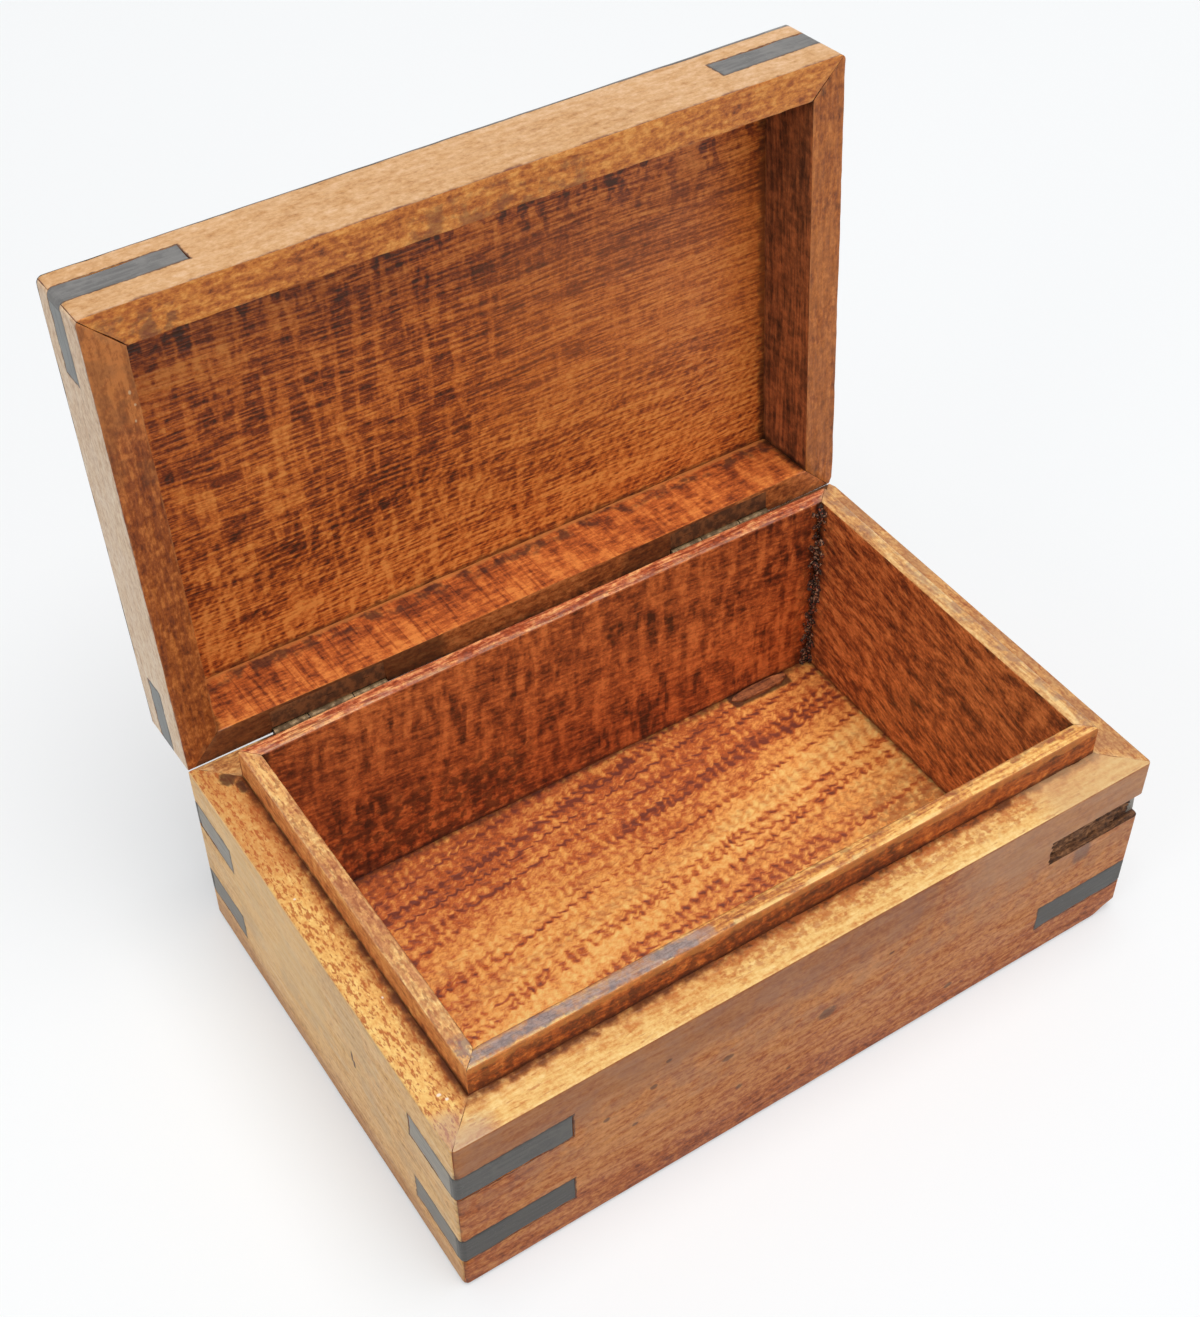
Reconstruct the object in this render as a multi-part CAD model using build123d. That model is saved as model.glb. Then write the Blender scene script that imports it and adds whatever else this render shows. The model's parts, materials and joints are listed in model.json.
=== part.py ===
from build123d import *
import os
from math import cos, radians, sin

# Hinged wooden box for papers and keepsakes, in millimetres.
#
# Mitred wall boards stand round a floor panel. A thinner liner stands inside them and rises
# above the rim, so that the lid's frame closes round it. Dark strips are let in across the
# corners. The lid swings on two butt hinges. The back edges of lid and base are bevelled, and
# the two bevels face each other as the stop that holds the lid open.
#
# X runs along the length, Y from front to back and Z up. The origin is the centre of the
# underside. The lid is made closed and then swung open about the hinge pins.

# Box
LENGTH = 180.0
DEPTH = 117.0
BASE_HEIGHT = 51.0
WALL = 9.3
BASE_CORNER_RADIUS = 1.2
BASE_FOOT_RADIUS = 1.1
RIM_RADIUS = 0.5

# Floor panel, let into the walls from below
FLOOR_THICKNESS = 4.2
FLOOR_REBATE = 5.0
PANEL_FIT = 0.1

# Liner
LINER_THICKNESS = 4.0
LINER_STAND = 8.4
LINER_RADIUS = 0.7

# Lid
LID_HEIGHT = 20.4
LID_WALL = 8.6
LID_CORNER_RADIUS = 1.5
LID_TOP_RADIUS = 0.4
LID_PANEL_THICKNESS = 2.6
LID_PANEL_REBATE = 4.0
OPEN_MITRE = 0.35

# Dark border on the lid's top, planed thinner towards the left
BORDER_WIDTH = 7.5
BORDER_THICK = 1.1
BORDER_THIN = 0.5

# Dark strips across the corners
STRIP_DEPTH = 2.0
STRIP_LONG = 27.0
STRIP_SHORT = 18.5
BASE_STRIP_HEIGHT = 7.6
LOWER_STRIP_RISE = 13.6
UPPER_STRIP_DROP = 14.0
LID_STRIP_HEIGHT = 6.4
LID_STRIP_RISE = 11.2

# Hinges
HINGE_FROM_END = 35.5
HINGE_LENGTH = 29.0
HINGE_INSET = 1.5
RIM_GAP = 0.5
STOP_GAP = 0.34
OPEN_ANGLE = 94.5
LEAF_THICKNESS = 0.8
LEAF_REACH = 6.0
PIN_RADIUS = 0.5
PIN_RUNNING_FIT = 0.05
MIDDLE_KNUCKLE = 11.2
KNUCKLE_CLEARANCE = 0.3

# Hinge screws
SCREW_PITCH = 9.5
SCREW_SETBACK = 3.7
SCREW_LENGTH = 6.5
SCREW_RADIUS = 0.6
HEAD_RADIUS = 1.2
HEAD_DEPTH = 0.7
SLOT_WIDTH = 0.3
SLOT_DEPTH = 0.25

# Worked-out places
HALF_LENGTH = LENGTH / 2
HALF_DEPTH = DEPTH / 2
HINGE_OFFSET = HALF_LENGTH - HINGE_FROM_END
LID_RIM = BASE_HEIGHT + RIM_GAP
LID_TOP = LID_RIM + LID_HEIGHT
LINER_TOP = BASE_HEIGHT + LINER_STAND
HINGE_Y = HALF_DEPTH - HINGE_INSET
HINGE_Z = BASE_HEIGHT + RIM_GAP / 2
KNUCKLE_RADIUS = RIM_GAP / 2 + LEAF_THICKNESS
SWEEP_RADIUS = KNUCKLE_RADIUS + KNUCKLE_CLEARANCE
BEVEL_TILT = (180 - OPEN_ANGLE) / 2
HINGE_AXIS = Axis((0, HINGE_Y, HINGE_Z), (1, 0, 0))
MARGIN = 1.0
NEARLY = 0.001

SIDES = ("front", "back", "left", "right")
HINGES = {"left": -HINGE_OFFSET, "right": HINGE_OFFSET}
CORNERS = {"front_left": (-1, -1), "front_right": (1, -1), "back_left": (-1, 1), "back_right": (1, 1)}
STRIP_LEVELS = {
    "lower": LOWER_STRIP_RISE,
    "upper": BASE_HEIGHT - UPPER_STRIP_DROP,
    "lid": LID_RIM + LID_STRIP_RISE,
}
LOST_STRIP = ("front_right", "upper", "long")


def block(x_range, y_range, z_range):
    """Box between the given limits."""
    spans = (x_range, y_range, z_range)
    sizes = [high - low for low, high in spans]
    centre = [(high + low) / 2 for low, high in spans]
    return Pos(*centre) * Box(*sizes)


def centred(half):
    return (-half, half)


def along_x(radius, x_range, y=HINGE_Y, z=HINGE_Z):
    """Cylinder along X, on the hinge line unless told otherwise."""
    low, high = x_range
    return Pos((low + high) / 2, y, z) * Rot(0, 90, 0) * Cylinder(radius, high - low)


def swing_open(shape):
    """Turn a piece of the closed lid to the open rest position."""
    return shape.rotate(HINGE_AXIS, -OPEN_ANGLE)


# Frames of four mitred pieces


def mitre_wedge(side, thickness, z_range, inner_gap=0.0):
    """The part of a mitred frame that belongs to one side, cut at 45 degrees."""
    run = {"front": HALF_LENGTH, "back": HALF_LENGTH, "left": HALF_DEPTH, "right": HALF_DEPTH}[side]
    reach = {"front": HALF_DEPTH, "back": HALF_DEPTH, "left": HALF_LENGTH, "right": HALF_LENGTH}[side]
    turn = {"front": 0, "right": 90, "back": 180, "left": 270}[side]
    inner = run - thickness - inner_gap
    corners = [(-run, -reach), (run, -reach), (inner, thickness - reach), (-inner, thickness - reach)]
    outline = Polygon(*corners, align=None)
    low, high = z_range
    return Rot(0, 0, turn) * Pos(0, 0, low) * extrude(outline, high - low)


def edges_at(shape, z):
    return shape.edges().filter_by_position(Axis.Z, z - NEARLY, z + NEARLY)


def ring(half_length, half_depth, thickness, z_range):
    """Straight frame of the given wall thickness, open above and below."""
    low, high = z_range
    outside = block(centred(half_length), centred(half_depth), z_range)
    inside = block(
        centred(half_length - thickness), centred(half_depth - thickness), (low - MARGIN, high + MARGIN)
    )
    return outside - inside


def corner_edges(shape, half_length):
    """The four upright edges on the outside."""
    upright = shape.edges().filter_by(Axis.Z)
    return [edge for edge in upright if abs(abs(edge.center().X) - half_length) < NEARLY]


# Corner strips


def strip_boxes(corner, level):
    """The long strip on the front or back face and the short one on the side face."""
    x_sign, y_sign = CORNERS[corner]
    height = LID_STRIP_HEIGHT if level == "lid" else BASE_STRIP_HEIGHT
    z_range = (STRIP_LEVELS[level] - height / 2, STRIP_LEVELS[level] + height / 2)

    def span(sign, half, start, end):
        return tuple(sorted((sign * (half - start), sign * (half - end))))

    long_box = block(
        span(x_sign, HALF_LENGTH, 0, STRIP_LONG), span(y_sign, HALF_DEPTH, 0, STRIP_DEPTH), z_range
    )
    short_box = block(
        span(x_sign, HALF_LENGTH, 0, STRIP_DEPTH), span(y_sign, HALF_DEPTH, STRIP_DEPTH, STRIP_SHORT), z_range
    )
    return {"long": long_box, "short": short_box}


def cut_strip_recesses(shape, levels):
    for level in levels:
        for corner in CORNERS:
            for box in strip_boxes(corner, level).values():
                shape = shape - box
    return shape


def corner_strips(outside, levels):
    """Every strip at the given levels, flush with the rounded outside."""
    strips = {}
    for level in levels:
        for corner in CORNERS:
            for reach, box in strip_boxes(corner, level).items():
                if (corner, level, reach) != LOST_STRIP:
                    strips[f"strip_{corner}_{level}_{reach}"] = box & outside
    return strips


# Hinges


def knuckle_spans(centre):
    """X ranges of the two base knuckles and of the lid knuckle between them."""
    low = centre - HINGE_LENGTH / 2
    high = centre + HINGE_LENGTH / 2
    middle = (centre - MIDDLE_KNUCKLE / 2, centre + MIDDLE_KNUCKLE / 2)
    first = (low, middle[0] - KNUCKLE_CLEARANCE)
    last = (middle[1] + KNUCKLE_CLEARANCE, high)
    return [first, last], [middle]


def leaf_box(centre):
    """Base leaf's plate, let into the rim so that its face is flush."""
    return block(
        (centre - HINGE_LENGTH / 2, centre + HINGE_LENGTH / 2),
        (HINGE_Y - LEAF_REACH, HINGE_Y),
        (BASE_HEIGHT - LEAF_THICKNESS, BASE_HEIGHT),
    )


def upside_down(shape):
    """Mirror a piece of the base's rim onto the closed lid's rim."""
    return mirror(shape, Plane.XY.offset(HINGE_Z))


def screw_places(centre):
    return [(centre + step * SCREW_PITCH, HINGE_Y - SCREW_SETBACK) for step in (-1, 0, 1)]


def screw_body(x, y, top=BASE_HEIGHT):
    """Countersunk head and shank, point down, flush with the leaf."""
    shank_length = SCREW_LENGTH - HEAD_DEPTH
    head = Pos(x, y, top - HEAD_DEPTH / 2) * Cone(SCREW_RADIUS, HEAD_RADIUS, HEAD_DEPTH)
    shank = Pos(x, y, top - HEAD_DEPTH - shank_length / 2) * Cylinder(SCREW_RADIUS, shank_length)
    return head + shank


def screws(centre):
    """Three slotted screws as one group of solids."""
    made = []
    for x, y in screw_places(centre):
        slot = Pos(x, y, BASE_HEIGHT) * Box(2 * HEAD_RADIUS + MARGIN, SLOT_WIDTH, 2 * SLOT_DEPTH)
        made.append(screw_body(x, y) - slot)
    return made


def hinge_leaf(centre, own_spans, other_spans, bore_radius):
    """Plate with rolled knuckles, written as the base's leaf."""
    leaf = leaf_box(centre)
    for low, high in other_spans:
        leaf = leaf - along_x(SWEEP_RADIUS, (low - KNUCKLE_CLEARANCE, high + KNUCKLE_CLEARANCE))
    for span in own_spans:
        leaf = leaf + along_x(KNUCKLE_RADIUS, span)
    for low, high in own_spans:
        leaf = leaf - along_x(bore_radius, (low - MARGIN, high + MARGIN))
    for x, y in screw_places(centre):
        leaf = leaf - screw_body(x, y)
    return leaf


def hinge_cutter(centre):
    """Everything that one hinge takes out of the base's back board."""
    half = HINGE_LENGTH / 2 + KNUCKLE_CLEARANCE
    cutter = leaf_box(centre) + along_x(SWEEP_RADIUS, (centre - half, centre + half))
    for x, y in screw_places(centre):
        cutter = cutter + screw_body(x, y)
    return cutter


def bevel_cutter():
    """Takes the base's back top edge off, to the slope of the stop."""
    outward = (0, cos(radians(BEVEL_TILT)), sin(radians(BEVEL_TILT)))
    origin = [at - STOP_GAP / 2 * along for at, along in zip((0, HINGE_Y, HINGE_Z), outward)]
    plane = Plane(origin=origin, x_dir=(1, 0, 0), z_dir=outward)
    size = 4 * HINGE_INSET + 4 * KNUCKLE_RADIUS
    return plane * Pos(0, 0, size / 2) * Box(LENGTH + 2 * MARGIN, 2 * size, size)


# Base


def make_base():
    parts = {}
    outside = block(centred(HALF_LENGTH), centred(HALF_DEPTH), (0, BASE_HEIGHT))
    outside = fillet(corner_edges(outside, HALF_LENGTH), BASE_CORNER_RADIUS)
    outside = fillet(edges_at(outside, 0), BASE_FOOT_RADIUS)
    outside = fillet(edges_at(outside, BASE_HEIGHT), RIM_RADIUS)

    rebate = WALL - FLOOR_REBATE
    floor_room = block(
        centred(HALF_LENGTH - rebate), centred(HALF_DEPTH - rebate), (-MARGIN, FLOOR_THICKNESS)
    )
    floor_edge = rebate + PANEL_FIT
    parts["base_floor"] = block(
        centred(HALF_LENGTH - floor_edge), centred(HALF_DEPTH - floor_edge), (0, FLOOR_THICKNESS)
    )

    walls = outside & ring(HALF_LENGTH, HALF_DEPTH, WALL, (0, BASE_HEIGHT))
    walls = walls - floor_room - bevel_cutter()
    for centre in HINGES.values():
        walls = walls - hinge_cutter(centre)
    walls = cut_strip_recesses(walls, ("lower", "upper"))
    for side in SIDES:
        parts[f"base_{side}_board"] = walls & mitre_wedge(side, WALL, (0, BASE_HEIGHT))

    strip_outside = outside - bevel_cutter()
    parts.update(corner_strips(strip_outside, ("lower", "upper")))

    half_length = HALF_LENGTH - WALL
    half_depth = HALF_DEPTH - WALL
    liner = ring(half_length, half_depth, LINER_THICKNESS, (FLOOR_THICKNESS, LINER_TOP))
    liner = fillet(edges_at(liner, LINER_TOP), LINER_RADIUS)
    for side in SIDES:
        wedge = mitre_wedge(side, WALL + LINER_THICKNESS, (FLOOR_THICKNESS, LINER_TOP))
        parts[f"liner_{side}"] = liner & wedge
    return parts


# Lid, closed


def border_pieces():
    """Left and right strips run through, and the front and back ones butt against them."""
    edge = HALF_LENGTH - BORDER_WIDTH
    inner_depth = HALF_DEPTH - BORDER_WIDTH
    pieces = {
        "left": block((-HALF_LENGTH, -edge), centred(HALF_DEPTH), (LID_TOP - BORDER_THIN, LID_TOP)),
        "right": block((edge, HALF_LENGTH), centred(HALF_DEPTH), (LID_TOP - BORDER_THICK, LID_TOP)),
    }
    taper = Polygon(
        (-edge, LID_TOP), (-edge, LID_TOP - BORDER_THIN), (edge, LID_TOP - BORDER_THICK), (edge, LID_TOP),
        align=None,
    )
    for side, y in (("front", -inner_depth), ("back", HALF_DEPTH)):
        pieces[side] = extrude(Plane.XZ.offset(-y) * taper, BORDER_WIDTH)
    return pieces


def make_lid():
    parts = {}
    outside = block(centred(HALF_LENGTH), centred(HALF_DEPTH), (LID_RIM, LID_TOP))
    outside = fillet(corner_edges(outside, HALF_LENGTH), LID_CORNER_RADIUS)
    outside = fillet(edges_at(outside, LID_TOP), LID_TOP_RADIUS)
    outside = outside - upside_down(bevel_cutter())

    rebate = LID_WALL - LID_PANEL_REBATE
    panel_floor = LID_TOP - LID_PANEL_THICKNESS
    panel_room = block(
        centred(HALF_LENGTH - rebate), centred(HALF_DEPTH - rebate), (panel_floor, LID_TOP + MARGIN)
    )
    panel_edge = rebate + PANEL_FIT
    panel = block(
        centred(HALF_LENGTH - panel_edge), centred(HALF_DEPTH - panel_edge), (panel_floor, LID_TOP)
    )

    rails = outside & ring(HALF_LENGTH, HALF_DEPTH, LID_WALL, (LID_RIM, LID_TOP))
    rails = rails - panel_room
    for centre in HINGES.values():
        rails = rails - upside_down(hinge_cutter(centre))
    rails = cut_strip_recesses(rails, ("lid",))
    for side, piece in border_pieces().items():
        rails = rails - piece
        panel = panel - piece
        parts[f"lid_border_{side}"] = piece & outside
    parts["lid_panel"] = panel
    for side in SIDES:
        gap = OPEN_MITRE if side == "front" else 0.0
        parts[f"lid_{side}_rail"] = rails & mitre_wedge(side, LID_WALL, (LID_RIM, LID_TOP), gap)

    parts.update(corner_strips(outside, ("lid",)))
    return parts


def make_hinges():
    """Fixed pieces first, then the closed lid's pieces."""
    fixed = {}
    moving = {}
    for side, centre in HINGES.items():
        base_spans, lid_spans = knuckle_spans(centre)
        fixed[f"hinge_{side}_base_leaf"] = hinge_leaf(centre, base_spans, lid_spans, PIN_RADIUS)
        ends = (centre - HINGE_LENGTH / 2, centre + HINGE_LENGTH / 2)
        fixed[f"hinge_{side}_pin"] = along_x(PIN_RADIUS, ends)
        fixed[f"hinge_{side}_base_screws"] = Compound(children=screws(centre))
        lid_bore = PIN_RADIUS + PIN_RUNNING_FIT
        lid_leaf = hinge_leaf(centre, lid_spans, base_spans, lid_bore)
        moving[f"hinge_{side}_lid_leaf"] = upside_down(lid_leaf)
        lid_screws = [upside_down(screw) for screw in screws(centre)]
        moving[f"hinge_{side}_lid_screws"] = Compound(children=lid_screws)
    return fixed, moving


def main():
    os.makedirs("parts", exist_ok=True)
    fixed_hinges, moving_hinges = make_hinges()
    fixed = {**make_base(), **fixed_hinges}
    moving = {**make_lid(), **moving_hinges}
    for name, shape in moving.items():
        fixed[name] = swing_open(shape)
    for name, shape in fixed.items():
        export_step(shape, f"parts/{name}.step")


main()
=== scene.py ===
import json
import math
import random
from functools import partialmethod, reduce
from types import SimpleNamespace

import bmesh
import bpy
from mathutils import Matrix, Vector, noise

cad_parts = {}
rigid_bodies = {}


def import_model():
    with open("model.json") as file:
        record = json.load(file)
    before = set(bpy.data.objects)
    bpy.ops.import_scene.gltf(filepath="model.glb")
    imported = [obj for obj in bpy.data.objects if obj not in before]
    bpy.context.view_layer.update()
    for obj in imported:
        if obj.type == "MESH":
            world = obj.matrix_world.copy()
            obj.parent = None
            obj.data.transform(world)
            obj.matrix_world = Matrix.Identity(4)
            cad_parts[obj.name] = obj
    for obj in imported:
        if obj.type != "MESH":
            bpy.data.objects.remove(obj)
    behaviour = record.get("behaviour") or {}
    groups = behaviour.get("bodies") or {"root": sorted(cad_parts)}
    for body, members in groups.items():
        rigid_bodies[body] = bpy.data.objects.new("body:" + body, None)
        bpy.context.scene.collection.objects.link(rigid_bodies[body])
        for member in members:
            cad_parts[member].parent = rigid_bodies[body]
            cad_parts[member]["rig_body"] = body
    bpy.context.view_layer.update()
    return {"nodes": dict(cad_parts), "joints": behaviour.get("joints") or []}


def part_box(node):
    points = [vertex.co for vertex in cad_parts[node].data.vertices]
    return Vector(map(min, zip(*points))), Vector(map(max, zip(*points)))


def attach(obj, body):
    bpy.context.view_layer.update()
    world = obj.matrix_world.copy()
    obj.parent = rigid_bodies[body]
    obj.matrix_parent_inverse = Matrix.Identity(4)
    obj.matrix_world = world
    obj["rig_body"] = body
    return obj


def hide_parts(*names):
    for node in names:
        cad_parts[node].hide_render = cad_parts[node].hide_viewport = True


# Looks of the hinged wooden box. Lengths in the code are millimetres unless they end in _M, and
# the pieces themselves are in metres. Shapes on the lid are worked out as if it were closed, and
# then turned open about the hinge, as the CAD pieces are.

MM = 0.001

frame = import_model()


# Sizes read from the frame


def span(node):
    """Lowest and highest corner of a node in millimetres."""
    low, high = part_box(node)
    return low / MM, high / MM


HINGE = Vector(frame["joints"][0]["pos_m"]) / MM
OPEN_ANGLE = math.radians(frame["joints"][0]["range_deg"][1])
HALF_LENGTH = span("base_right_board")[1].x
HALF_DEPTH = span("base_back_board")[1].y
RIM = span("base_front_board")[1].z
WALL = HALF_DEPTH + span("base_front_board")[1].y
FLOOR_TOP = span("base_floor")[1].z
LINER_TOP = span("liner_front")[1].z
LINER_INSIDE_X = span("liner_right")[0].x
LINER_INSIDE_Y = span("liner_back")[0].y

TO_HINGE = Matrix.Translation(-HINGE)
CLOSING = TO_HINGE.inverted() @ Matrix.Rotation(OPEN_ANGLE, 4, "X") @ TO_HINGE
OPENING = CLOSING.inverted()


def closed_span(node):
    """Ends of a node along each axis in millimetres, on the lid as if it were closed."""
    mesh = copy_of(node)
    places = zip(*(vertex.co for vertex in mesh.verts))
    ends = {axis: (min(values), max(values)) for axis, values in zip("xyz", places)}
    mesh.free()
    return ends


def put(name, data):
    """A new object in the scene."""
    thing = bpy.data.objects.new(name, data)
    bpy.context.scene.collection.objects.link(thing)
    return thing


def mesh_data(name, mesh):
    """The finished mesh as Blender keeps it."""
    data = bpy.data.meshes.new(name)
    mesh.to_mesh(data)
    mesh.free()
    return data


def srgb(red, green, blue):
    """Colour as a screen shows it, from 0 to 255, turned into scene values."""
    values = [channel / 255 for channel in (red, green, blue)]
    linear = [v / 12.92 if v <= 0.04045 else ((v + 0.055) / 1.055) ** 2.4 for v in values]
    return (*linear, 1.0)


def shaded(colour, amount):
    """The colour made darker or paler."""
    return tuple(part * amount for part in colour)


# Node trees


class Term:
    """A number in a node tree, so that a shader's sums read as sums."""

    def __init__(self, tree, socket):
        self.tree = tree
        self.socket = socket

    def join(self, operation, *others):
        return self.tree.node("Math", enumerate((self, *others)), operation=operation)

    __add__ = partialmethod(join, "ADD")
    __sub__ = partialmethod(join, "SUBTRACT")
    __mul__ = partialmethod(join, "MULTIPLY")
    most = partialmethod(join, "MAXIMUM")
    size = partialmethod(join, "ABSOLUTE")
    sine = partialmethod(join, "SINE")

    def __rsub__(self, other):
        return (self * -1) + other

    def rise(self, low, high):
        """0 below low, 1 above high and smooth between them."""
        inputs = {"Value": self, "From Min": low, "From Max": high}
        return self.tree.node("MapRange", inputs, interpolation_type="SMOOTHSTEP")

    def within(self, low, high, soft):
        """1 between low and high, fading over soft at both ends."""
        return self.rise(low - soft, low + soft) * (1 - self.rise(high - soft, high + soft))


class Tree:
    """The node tree of a new material or world, with short calls for what the finishes need."""

    def __init__(self, owner, shader="Principled BSDF"):
        owner.use_nodes = True
        self.owner = owner
        self.shader = owner.node_tree.nodes[shader]

    def plug(self, socket, value):
        if isinstance(value, Term):
            self.owner.node_tree.links.new(value.socket, socket)
        else:
            socket.default_value = value

    def set(self, name, value):
        """Give one of the shader's inputs a term or a constant."""
        self.plug(self.shader.inputs[name], value)

    def node(self, kind, inputs=(), output=0, **settings):
        """A new node with its settings and its inputs, as the term of one of its outputs."""
        node = self.owner.node_tree.nodes.new("ShaderNode" + kind)
        for name, value in settings.items():
            setattr(node, name, value)
        for name, value in dict(inputs).items():
            self.plug(node.inputs[name], value)
        return Term(self, node.outputs[output])

    def axes(self, on_lid=False):
        """X, Y and Z of the surface in millimetres, on the lid as if it were closed."""
        inputs = {"Vector": self.node("TexCoord", output="Object"), "Scale": [1 / MM] * 3}
        if on_lid:
            inputs.update(Rotation=(OPEN_ANGLE, 0, 0), Location=CLOSING.translation)
        place = {"Vector": self.node("Mapping", inputs)}
        return {axis: self.node("SeparateXYZ", place, axis.upper()) for axis in "xyz"}

    def vector(self, x, y, z):
        return self.node("CombineXYZ", {"X": x, "Y": y, "Z": z})

    def scaled(self, place, rates):
        """The place in waves, of which there are so many per millimetre along each axis."""
        return self.node("VectorMath", {0: place, 1: rates}, operation="MULTIPLY")

    def noise(self, place, rates, detail=1.0, roughness=0.5):
        """Noise from about 0.2 to 0.8. rates is one number, or (along, across) the fibres."""
        rates = (rates,) if isinstance(rates, float) else rates
        place = self.scaled(place, (*rates, rates[-1], rates[-1])[:3])
        inputs = {"Vector": place, "Scale": 1.0, "Detail": detail, "Roughness": roughness}
        return self.node("TexNoise", inputs)

    def scales(self, place, rates):
        """How far the surface is from the middle of the nearest scale of figure, 0 to about 0.6."""
        place = self.scaled(place, (*rates, 0))
        inputs = {"Vector": place, "Scale": 1.0, "Smoothness": 0.25, "Randomness": 0.75}
        return self.node("TexVoronoi", inputs, voronoi_dimensions="2D", feature="SMOOTH_F1")

    def mix(self, share, below, above):
        """Colour below, covered by colour above as far as share says.

        Colours of three parts are as a screen shows them, and those of four are scene values.
        """
        below, above = (
            srgb(*colour) if isinstance(colour, tuple) and len(colour) == 3 else colour
            for colour in (below, above)
        )
        return self.node("Mix", {0: share, 6: below, 7: above}, 2, data_type="RGBA")

    def ramp(self, value, stops):
        """Colour read off a row of (place, colour) stops."""
        colour = self.node("ValToRGB", {0: value})
        elements = colour.socket.node.color_ramp.elements
        for index, (place, shown) in enumerate(stops):
            element = elements[index] if index < 2 else elements.new(place)
            element.position = place
            element.color = srgb(*shown)
        return colour

    def edges(self):
        """1 on the board's edges and 0 on its faces, as weather() has measured."""
        return self.node("Attribute", output="Fac", attribute_name="edge")

    def finish(self, colour, rough, relief, depth_mm, shine=0.5, metal=0.0):
        """The finished material. relief is the pattern of its bumps, and depth_mm their depth."""
        self.set("Base Color", colour)
        self.set("Roughness", rough)
        self.set("Specular IOR Level", shine)
        self.set("Metallic", metal)
        self.set("Normal", self.node("Bump", {"Distance": depth_mm * MM, "Height": relief}))
        return self.owner


# Wood

# Palettes run from the palest fibre to the darkest line, as the shader's darkness goes from 0 to 1.
# Rates are waves per millimetre along and across the fibres. The plain words beside them are how
# strongly that figure shows. zones fade a figure out along an axis, and fades darken the board
# along one: (axis, where it starts, where it ends, how much). streaks are a colour, its share and
# rates, and flecks also where their noise starts to show and where it shows in full.
PALETTE_STOPS = (0.02, 0.35, 0.66, 0.98)
WOOD = dict(
    palette=((226, 150, 76), (196, 112, 52), (128, 66, 34), (60, 32, 20)), base=0.45, tone=0.5,
    fades=(), zones={}, seed=0.0, slant=0.0, wander=4.0,
    ripple_pitch=2.9, ripple_lean=0.1, ripple_shade=0.0, scallop=0.0,
    row_rate=0.16, rows=0.6, cell_rates=(0.3, 0.3), cells=0.9, bar_rates=(0.34, 0.06), bars=0.2,
    tick_rates=(0.5, 0.09), ticks=0.0, scale_rates=(0.36, 0.33), scales=0.0,
    vein_rates=(0.012, 0.16), veins=0.0, line_rates=(0.16, 1.1), lines=0.4,
    mottle_rates=(0.9, 1.2), mottle=0.8,
    streaks=None, flecks=None,
    worn=(210, 150, 92), worn_share=0.4, rough=0.45, shine=0.35, relief=0.08,
)
# Where each figure's noise starts to show and where it shows in full
BAR_EDGES = (0.46, 0.62)
LINE_EDGES = (0.34, 0.66)
TICK_EDGES = (0.52, 0.64)
TICK_PLACE_EDGES = (0.42, 0.56)
STREAK_EDGES = (0.53, 0.62)
EDGE_WEAR_EDGES = (0.4, 0.6)
VEIN_WIDTH = 0.065
SCALE_MIDDLE = 0.38


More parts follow.
